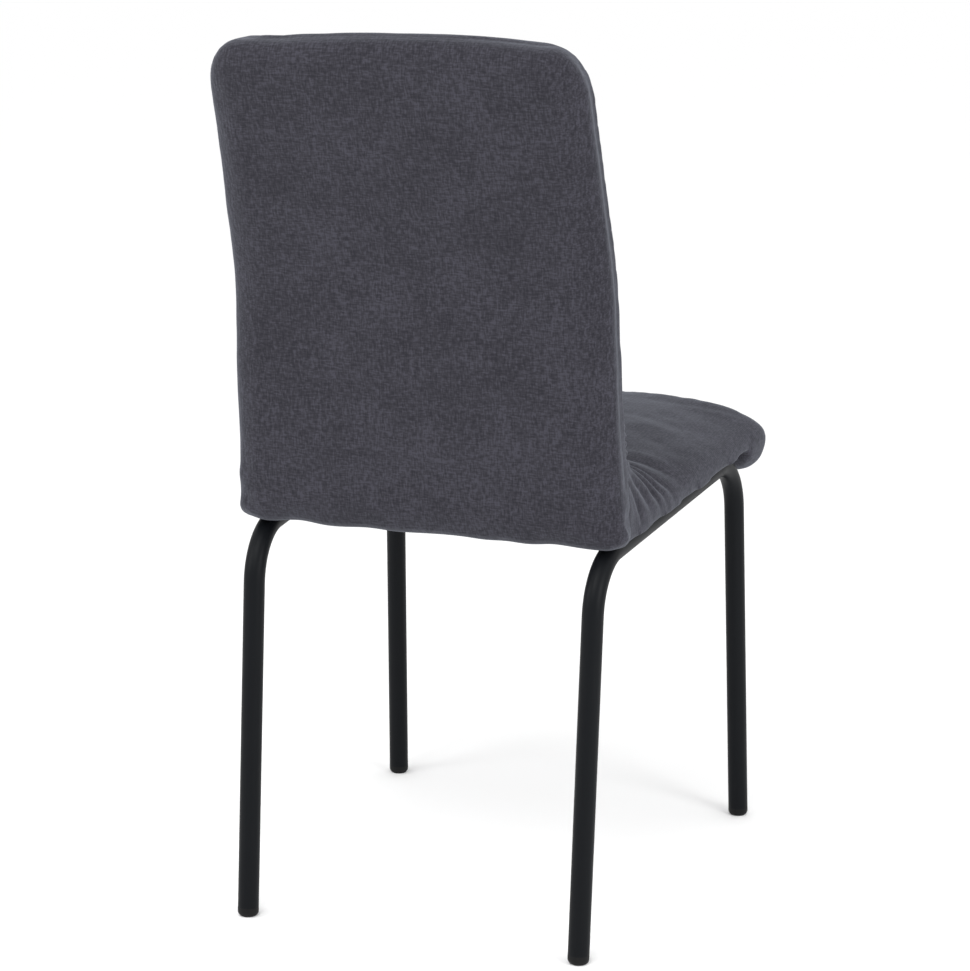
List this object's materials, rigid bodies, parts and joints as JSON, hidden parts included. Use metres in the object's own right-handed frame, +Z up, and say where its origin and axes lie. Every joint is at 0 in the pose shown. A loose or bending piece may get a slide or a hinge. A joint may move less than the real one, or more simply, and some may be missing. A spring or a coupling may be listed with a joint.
{
  "type": "dining chair",
  "caption": "Upholstered side chair with a tall padded back and a padded seat with a rolled front edge, on inverted-U legs of round steel tube.",
  "frame": {"origin": "on the floor, under the centre of the chair's bounding box", "axes": "+Z up, +X to the sitter's left, the sitter faces -Y, the back is towards +Y"},
  "size_m": [0.4504, 0.5905, 0.915],
  "materials": {
    "upholstery_fabric": "soft woven melange, matt with a faint sheen at grazing angles",
    "powder_coated_steel": "black powder coat, satin",
    "glide_plastic": "moulded, fine texture",
    "plywood": "sanded, unsealed",
    "timber": "planed, unsealed",
    "zinc_plated_steel": "bright zinc plate",
    "foam": "open-cell foam",
    "lining_fabric": "spun-bonded non-woven"
  },
  "bodies": {
    "root": {"left_leg_frame": "powder_coated_steel", "right_leg_frame": "powder_coated_steel", "front_cross_bar": "powder_coated_steel", "rear_cross_bar": "powder_coated_steel", "front_left_glide": "glide_plastic", "front_right_glide": "glide_plastic", "rear_left_glide": "glide_plastic", "rear_right_glide": "glide_plastic", "seat_board": "plywood", "back_board": "plywood", "front_batten": "timber", "left_bracket": "zinc_plated_steel", "right_bracket": "zinc_plated_steel", "seat_bolts": "zinc_plated_steel", "seat_washers": "zinc_plated_steel", "seat_tee_nuts": "zinc_plated_steel", "bracket_screws": "zinc_plated_steel", "batten_screws": "zinc_plated_steel", "seat_foam": "foam", "back_foam": "foam", "back_wadding": "foam", "seat_cover": "upholstery_fabric", "back_front_cover": "upholstery_fabric", "back_rear_cover": "upholstery_fabric", "dust_cover": "lining_fabric"}
  },
  "joints": []
}
